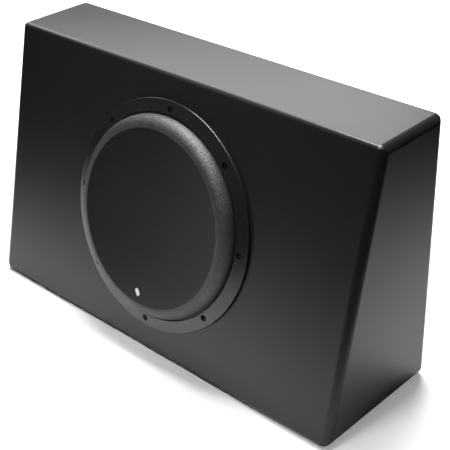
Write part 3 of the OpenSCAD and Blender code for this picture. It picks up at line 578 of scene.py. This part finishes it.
# ---------------------------------------------------------------- rear cone
# A stiff cone of black pressed fibre behind the dish, glued to the coil's tube at its neck and to the
# back of the dish at its wide end.
pressed_fibre = finish("pressed_fibre", (0.018, 0.018, 0.019), (0.03, 0.03, 0.03), 0.75, specular=0.3,
                       scale=420, amount=0.9, grain_scale=1200, pebbles=0.4, depth=0.00015)
dress("cone_body", pressed_fibre)


# ---------------------------------------------------------------- dish
# The shallow satin black dish that shows in front: moulded polypropylene, 1.2 mm thick, glued into the
# crown of the surround. It has no dust cap.
dish_radius = (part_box("cone_dish")[1][0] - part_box("cone_dish")[0][0]) / 2
roll_radius, roll_height = 0.0155, 0.0087
dish_lap, dish_thickness = 0.0015, 0.0012
roll_middle = dish_radius + dish_lap
rim_slope = math.asin((roll_middle - dish_radius) / roll_radius)
dish_sphere = dish_radius / math.sin(rim_slope)
dish_rim = roll_height + roll_radius * math.cos(rim_slope)
sphere_height = dish_rim + dish_sphere * math.cos(rim_slope)
dish_shape = bmesh.new()
arc(dish_shape, (0, sphere_height - dish_sphere), (0, sphere_height), rim_slope, 40)
turn_round(dish_shape, 160)
for face in dish_shape.faces:
    if face.normal.z < 0:
        face.normal_flip()
bmesh.ops.solidify(dish_shape, geom=dish_shape.faces, thickness=dish_thickness)
dish = in_baffle(dish_shape, "dish")
smooth(dish, 40)
satin_plastic = finish("satin_polypropylene", (0.006, 0.006, 0.0062), (0.008, 0.008, 0.0082), 0.3,
                       specular=0.42, scale=40, amount=0.6, spread=0.03, grain_scale=1600, pebbles=0.4,
                       depth=0.000012)
dish.data.materials.append(satin_plastic)
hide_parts("cone_dish")
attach(dish, "diaphragm")


# ---------------------------------------------------------------- badge
# A small plain white pill of moulded plastic stuck on the dish near its lower edge.
white_gloss = finish("white_gloss", (0.8, 0.8, 0.78), (0.74, 0.74, 0.72), 0.25, specular=0.5, scale=200,
                     grain_scale=2500, depth=0.00001)
dress("plain_badge", white_gloss, 0.00025, 3)


# ---------------------------------------------------------------- surround
# A tall half roll of black rubber, matt and finely pitted all over. Its foot is clamped under the trim
# ring and its crown is glued to the dish; it is built at rest in one fixed shape.
foot_outer, foot_height, foot_step = 0.1435, 0.0044, 0.0012
foot_angle = math.asin((foot_height - roll_height) / roll_radius)
crown_angle = math.radians(150)
wall = 0.0018
surround_shape = bmesh.new()
start = (roll_middle + roll_radius * math.cos(foot_angle), foot_height)
roll = arc(surround_shape, start, (roll_middle, roll_height), crown_angle - foot_angle, 44)
path(surround_shape, [(start[0] + foot_step, foot_height - 0.00015), (foot_outer, foot_height - 0.0002)],
     before=roll[0])
turn_round(surround_shape, 192)
sample = max(surround_shape.faces, key=lambda f: f.calc_center_median().z)
if sample.normal.z < 0:
    bmesh.ops.reverse_faces(surround_shape, faces=surround_shape.faces)
bmesh.ops.solidify(surround_shape, geom=surround_shape.faces, thickness=wall)
surround = in_baffle(surround_shape, "surround_roll")
smooth(surround, 50)
pitted_rubber = finish("pitted_rubber", (0.04, 0.0415, 0.042), (0.012, 0.0125, 0.0128), 0.44, specular=0.75,
                       scale=260, amount=1.0, spread=0.06, grain_scale=620, pebbles=0.7, depth=0.0006)
surround.data.materials.append(pitted_rubber)
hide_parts("surround")
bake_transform(surround)


# ---------------------------------------------------------------- trim ring and driver screws
# A moulded ring lies over the flange and hides it. It falls away towards its rounded rim, and black hex
# socket screws sink into its eight round wells.
ring_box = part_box("trim_ring")
ring_outer = (ring_box[1][0] - ring_box[0][0]) / 2
ring_width, ring_base, ring_inner_height, ring_outer_height = 0.0182, 0.0032, 0.0084, 0.0045
ring_inner = ring_outer - ring_width
ring_lip, ring_foot, inner_round, outer_round = 0.0032, 0.0046, 0.0007, 0.001
screw_count, screw_inset, screw_well, well_depth = 8, 0.0115, 0.0046, 0.02
screw_circle = ring_outer - screw_inset
ring_shape = bmesh.new()
section = path(ring_shape, [
    (ring_inner, ring_foot), (ring_inner, ring_inner_height), (ring_outer, ring_outer_height),
    (ring_outer, ring_base), (ring_inner + ring_lip, ring_base), (ring_inner + ring_lip, ring_foot)])
ring_shape.edges.new((section[-1], section[0]))
outer_corner = section[2]
bmesh.ops.bevel(ring_shape, geom=[section[1]], offset=inner_round, segments=4, profile=0.5, affect="VERTICES",
                material=-1)
bmesh.ops.bevel(ring_shape, geom=[outer_corner], offset=outer_round, segments=5, profile=0.5,
                affect="VERTICES", material=-1)
turn_round(ring_shape, 192)
trim_ring = in_baffle(ring_shape, "moulded_ring")
wells = bmesh.new()
for i in range(screw_count):
    a = i * 2 * math.pi / screw_count
    well = Matrix.Translation((screw_circle * math.cos(a), screw_circle * math.sin(a), 0.008))
    bmesh.ops.create_cone(wells, cap_ends=True, segments=32, radius1=screw_well, radius2=screw_well,
                          depth=well_depth, matrix=to_baffle @ well)
cut(trim_ring, keep(wells, "wells"))
smooth(trim_ring, 35)
ring_plastic = finish("ring_plastic", (0.006, 0.0062, 0.0062), (0.01, 0.0103, 0.0103), 0.27, specular=0.8,
                      scale=60, amount=0.7, spread=0.04, grain_scale=1500, pebbles=0.6, depth=0.00003)
trim_ring.data.materials.clear()
trim_ring.data.materials.append(ring_plastic)
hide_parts("trim_ring")
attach(trim_ring, "cabinet")
black_oxide = finish("black_oxide", (0.004, 0.004, 0.004), (0.007, 0.0068, 0.0065), 0.45, specular=0.25,
                     scale=900, grain_scale=3000, depth=0.00001)
dress("driver_screws", black_oxide, 0.0003)


# ---------------------------------------------------------------- tinsel leads
# Two short braids of fine copper that hang between the wire tabs and the cone's neck, with slack for
# the cone's travel.
def braid(name, points, radius, material):
    line = bpy.data.curves.new(name, "CURVE")
    line.dimensions = "3D"
    spline = line.splines.new("NURBS")
    spline.points.add(len(points) - 1)
    for held, p in zip(spline.points, points):
        held.co = (*p, 1)
    spline.order_u, spline.use_endpoint_u, spline.resolution_u = 4, True, 10
    line.bevel_depth, line.bevel_resolution, line.use_fill_caps = radius, 3, True
    curve = bpy.data.objects.new(name + "_route", line)
    bpy.context.scene.collection.objects.link(curve)
    view = bpy.context.evaluated_depsgraph_get()
    view.update()
    mesh = bpy.data.meshes.new_from_object(curve.evaluated_get(view))
    mesh.name = name
    bpy.data.objects.remove(curve)
    piece = bpy.data.objects.new(name, mesh)
    bpy.context.scene.collection.objects.link(piece)
    mesh.materials.clear()
    mesh.materials.append(material)
    mesh.polygons.foreach_set("use_smooth", [True] * len(mesh.polygons))
    return piece


copper_braid = finish("copper_braid", (0.66, 0.33, 0.15), (0.4, 0.17, 0.07), 0.35, metal=1.0, scale=2200,
                      amount=1.0, grain_scale=3500, pebbles=1.0, depth=0.0002)
tinsel_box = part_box("tinsel_leads")
tab_x, neck_x, braid_radius = tinsel_box[0][0], tinsel_box[1][0], 0.0009
for side, label in ((1, "upper"), (-1, "lower")):
    route = [(tab_x, side * 0.012, -0.029), (tab_x + 0.011, side * 0.012, -0.024),
             (-0.086, side * 0.013, -0.024), (-0.068, side * 0.012, -0.020),
             (-0.052, side * 0.011, -0.026), (neck_x, side * 0.007, -0.026)]
    lead = braid("tinsel_lead_" + label, [to_baffle @ Vector(p) for p in route], braid_radius, copper_braid)
    if side == 1:
        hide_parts("tinsel_leads")
    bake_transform(lead)


# ---------------------------------------------------------------- amplifier tray
# A black moulded tray sunk into the left end. Its flange lies in a rebate over a foam gasket and is held
# by ten cross-head screws; the controls sit on the floor of its well.
tray_plastic = finish("moulded_tray", (0.014, 0.014, 0.0145), (0.02, 0.02, 0.0205), 0.46, specular=0.5,
                      scale=500, amount=0.6, grain_scale=1500, pebbles=0.9, depth=0.00006)
dress("amp_tray", tray_plastic, 0.0006, 3)
dress("amp_gasket", foam)
dress("amp_tray_screws", black_oxide, 0.0002)


# ---------------------------------------------------------------- control panel
# Folded steel sheet with a satin black powder coat, screwed to the back of the tray's floor. White
# printed ticks stand round the knobs, thin frames round the switches, and short signs over the power
# terminals.
panel_coat = finish("panel_coat", (0.02, 0.021, 0.022), (0.026, 0.027, 0.028), 0.42, metal=0.0, specular=0.5,
                    scale=600, grain_scale=2400, pebbles=0.7, depth=0.00002)
dress("control_panel", panel_coat, 0.0003)
black_nickel = finish("black_nickel", (0.2, 0.2, 0.205), (0.14, 0.14, 0.145), 0.28, metal=1.0, scale=700,
                      grain_scale=3000, depth=0.00001)
dress("control_panel_screws", black_nickel, 0.0002)


def centre_of(node):
    low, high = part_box(node)
    return (Vector(low) + Vector(high)) / 2


def on_end(point):
    """A point of the part as seen on the left end: towards the front, up, and out of the cabinet."""
    return to_end.inverted() @ Vector(point)


face_height = on_end(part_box("control_panel")[0]).z
print_height = face_height + 0.00004
white_ink = finish("white_ink", (0.72, 0.72, 0.7), (0.6, 0.6, 0.58), 0.6, specular=0.3, scale=1200,
                   grain_scale=3000, depth=0.00001)
knob_centres = [on_end(centre_of(n)) for n in ("gain_knob", "crossover_knob", "bass_boost_knob")]
knob_radius = (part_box("gain_knob")[1][2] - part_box("gain_knob")[0][2]) / 2
prints = bmesh.new()
ink_thickness, tick_count, first_tick, tick_turn = 0.00008, 11, 225, 27
tick_short, tick_long, tick_width, tick_gap = 0.0016, 0.0026, 0.0005, 0.0008
frame_length, frame_height, frame_width, frame_shift = 0.014, 0.0124, 0.0004, 0.002
clamp_pitch, sign_rise, sign_length, sign_width = 0.0145, 0.0142, 0.0034, 0.0006


def bar(bm, x, y, length, thickness, angle):
    place = Matrix.Translation((x, y, print_height)) @ Matrix.Rotation(angle, 4, "Z")
    bmesh.ops.create_cube(bm, size=1, matrix=place @ Matrix.Diagonal((length, thickness, ink_thickness, 1)))


for middle in knob_centres:
    for k in range(tick_count):
        a = math.radians(first_tick - tick_turn * k)
        length = tick_long if k % 5 == 0 else tick_short
        r = knob_radius + tick_gap + length / 2
        bar(prints, middle.x + r * math.cos(a), middle.y + r * math.sin(a), length, tick_width, a)
for node in ("phase_slider", "input_slider"):
    middle = on_end(centre_of(node))
    x = middle.x + frame_shift
    for side in (-0.5, 0.5):
        bar(prints, x, middle.y + side * frame_height, frame_length, frame_width, 0)
        bar(prints, x + side * frame_length, middle.y, frame_height, frame_width, math.pi / 2)
clamp_middle = on_end(centre_of("terminal_clamps"))
for k, marks in enumerate(((0,), (0, math.pi / 2), (0,))):
    x = clamp_middle.x + (k - 1) * clamp_pitch
    for a in marks:
        bar(prints, x, clamp_middle.y + sign_rise, sign_length, sign_width, a)
bmesh.ops.transform(prints, matrix=to_end, verts=prints.verts)
printed_marks = keep(prints, "printed_marks")
printed_marks.data.materials.append(white_ink)
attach(printed_marks, "cabinet")


# ---------------------------------------------------------------- heatsink
# An extruded and black anodised aluminium heatsink whose fins reach out through the control panel;
# fine die lines run along the fins.
anodised = finish("black_anodised", (0.028, 0.029, 0.032), (0.02, 0.021, 0.023), 0.36, metal=0.75, scale=300,
                  amount=0.7, grain_scale=2600, stretch=(1, 1, 0.03), pebbles=0.0, depth=0.00005)
dress("heatsink", anodised, 0.0003)


# ---------------------------------------------------------------- electronics behind the panel
# A green board on brass standoffs with capacitors, a copper toroid and power transistors, closed in by a
# galvanised steel cover.
galvanised = finish("galvanised", (0.52, 0.53, 0.54), (0.4, 0.41, 0.42), 0.42, metal=1.0, scale=70,
                    amount=0.9, grain_scale=700, depth=0.00003)
dress("amp_cover", galvanised, 0.0005)
green_laminate = finish("green_laminate", (0.012, 0.13, 0.04), (0.02, 0.19, 0.06), 0.3, coat=0.4, scale=260,
                        grain_scale=2000, depth=0.00002)
dress("circuit_board", green_laminate)
plated_brass = finish("plated_brass", (0.78, 0.6, 0.3), (0.66, 0.48, 0.2), 0.28, metal=1.0, scale=500,
                      grain_scale=3000, depth=0.00001)
dress("board_standoffs", plated_brass, 0.0001)
shrink_sleeve = finish("shrink_sleeve", (0.014, 0.02, 0.05), (0.02, 0.028, 0.06), 0.28, scale=200,
                       grain_scale=1800, depth=0.00002)
dress("filter_capacitors", shrink_sleeve, 0.0008)
dress("toroid_coil", copper_wire)
epoxy = finish("moulded_epoxy", (0.016, 0.016, 0.016), (0.024, 0.024, 0.024), 0.6, scale=900,
               grain_scale=2600, depth=0.00004)
dress("power_transistors", epoxy, 0.0003)


# ---------------------------------------------------------------- knobs and potentiometers
# Three black knobs with fluted skirts and a white pointer, pushed on the shafts of rotary potentiometers
# whose tinned cans stand behind the panel.
tinned = finish("tinned_steel", (0.5, 0.51, 0.52), (0.4, 0.41, 0.42), 0.35, metal=1.0, scale=400,
                grain_scale=2400, depth=0.00001)
dress("potentiometers", tinned, 0.0003)
knob_black = finish("knob_black", (0.014, 0.014, 0.0145), (0.02, 0.02, 0.0205), 0.42, specular=0.5, scale=500,
                    grain_scale=2600, depth=0.00002)
flutes, flute_scale, shaft_radius = 24, 0.955, 0.0025
skirt_gap, skirt_edge, shaft_lap = 0.0018, 0.0012, 0.0002
dip_margin, dip_depth = 0.0011, 0.0005
for name, middle in zip(("gain_knob", "crossover_knob", "bass_boost_knob"), knob_centres):
    back, front = on_end(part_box(name)[1]).z, on_end(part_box(name)[0]).z
    skirt = face_height + skirt_gap
    shape = bmesh.new()
    rim = bmesh.ops.create_circle(shape, segments=flutes * 4, radius=knob_radius)["verts"]
    for k, v in enumerate(sorted(rim, key=lambda v: math.atan2(v.co.y, v.co.x))):
        if k % 4 == 0:
            v.co *= flute_scale
    level = bmesh.ops.edgeloop_fill(shape, edges=shape.edges)["faces"]
    for rise, narrow in ((front - skirt - skirt_edge, 0.945), (skirt_edge, 0.965)):
        risen = bmesh.ops.extrude_face_region(shape, geom=level)
        tops = [g for g in risen["geom"] if isinstance(g, bmesh.types.BMVert)]
        bmesh.ops.delete(shape, geom=level, context="FACES_ONLY")
        bmesh.ops.translate(shape, vec=(0, 0, rise), verts=tops)
        bmesh.ops.scale(shape, vec=(narrow, narrow, 1), verts=tops)
        level = [g for g in risen["geom"] if isinstance(g, bmesh.types.BMFace)]
    bmesh.ops.edgeloop_fill(shape, edges=[e for e in shape.edges if e.is_boundary])
    bmesh.ops.inset_region(shape, faces=level, thickness=dip_margin, depth=0)
    bmesh.ops.translate(shape, vec=(0, 0, -dip_depth), verts=list({v for f in level for v in f.verts}))
    bmesh.ops.translate(shape, vec=(0, 0, skirt), verts=shape.verts)
    shaft_top = skirt + shaft_lap
    bmesh.ops.create_cone(shape, cap_ends=True, segments=40, radius1=shaft_radius, radius2=shaft_radius,
                          depth=shaft_top - back, matrix=Matrix.Translation((0, 0, (shaft_top + back) / 2)))
    bmesh.ops.recalc_face_normals(shape, faces=shape.faces)
    bmesh.ops.transform(shape, matrix=to_end @ Matrix.Translation((middle.x, middle.y, 0)), verts=shape.verts)
    knob = keep(shape, name + "_moulding")
    smooth(knob, 35)
    knob.data.materials.append(knob_black)
    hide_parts(name)
    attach(knob, name)
    shape = rounded_block((0.0009, knob_radius * 0.62, 0.0007), 0.0003, 3)
    bmesh.ops.transform(shape, matrix=to_end @ Matrix.Translation(
        (middle.x, middle.y + knob_radius * 0.48, front - 0.0005)), verts=shape.verts)
    pointer = keep(shape, name + "_pointer")
    pointer.data.materials.append(white_ink)
    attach(pointer, name)


# ---------------------------------------------------------------- slide switches
# Two pressed steel slide switches behind slots in the panel, each with a white nylon slider.
dress("switch_bodies", tinned, 0.0002)
for slider in ("phase_slider", "input_slider"):
    dress(slider, white_gloss, 0.00025, 3)


# ---------------------------------------------------------------- phono jacks
# Nickel-plated shells round moulded inserts, one white and one red, with the centre contact inside.
nickel = finish("nickel_plate", (0.7, 0.69, 0.66), (0.6, 0.59, 0.56), 0.2, metal=1.0, scale=500,
                grain_scale=3000, depth=0.000008)
dress("phono_jack_shells", nickel, 0.0003, 3)
dress("phono_insert_left", white_gloss, 0.0002)
red_gloss = finish("red_gloss", (0.5, 0.018, 0.018), (0.4, 0.012, 0.012), 0.25, scale=300, grain_scale=2600,
                   depth=0.00001)
dress("phono_insert_right", red_gloss, 0.0002)


# ---------------------------------------------------------------- level control socket and lamp
# A keyed nylon socket for a wired level control, and a blue lamp that shows the amplifier is on.
dress("remote_socket", nylon, 0.0003)
blue_lens = finish("blue_lens", (0.03, 0.18, 0.85), (0.02, 0.12, 0.7), 0.12, scale=400, grain_scale=2600,
                   depth=0.000005, transmission_weight=0.35)
dress("status_led", blue_lens)


# ---------------------------------------------------------------- power terminals
# A glossy moulded block with three plated brass clamps. Wires go straight in at the front, and a hex
# socket screw comes down on each from above.
block_gloss = finish("block_gloss", (0.011, 0.011, 0.0115), (0.016, 0.016, 0.0165), 0.26, specular=0.5,
                     scale=300, grain_scale=2400, depth=0.00002)
dress("power_terminal_block", block_gloss, 0.0006, 3)
dress("terminal_clamps", plated_brass, 0.0003)
dress("terminal_screws", nickel, 0.0002)


# ---------------------------------------------------------------- fuses
# Two blade fuses in translucent amber plastic stand in a moulded holder beside the terminals.
dress("fuse_holder", nylon, 0.0005)
amber = finish("amber_plastic", (0.9, 0.3, 0.015), (0.8, 0.22, 0.01), 0.2, scale=300, grain_scale=2600,
               depth=0.00001, transmission_weight=0.25)
dress("fuses", amber, 0.0004, 3)


# ---------------------------------------------------------------- speaker leads
# Two red leads from the amplifier's cover to the wire tabs, stranded copper in soft PVC, held at both
# ends.
red_insulation = finish("red_insulation", (0.42, 0.02, 0.018), (0.34, 0.015, 0.014), 0.42, scale=300,
                        grain_scale=2000, depth=0.00002)
dress("speaker_leads", red_insulation)
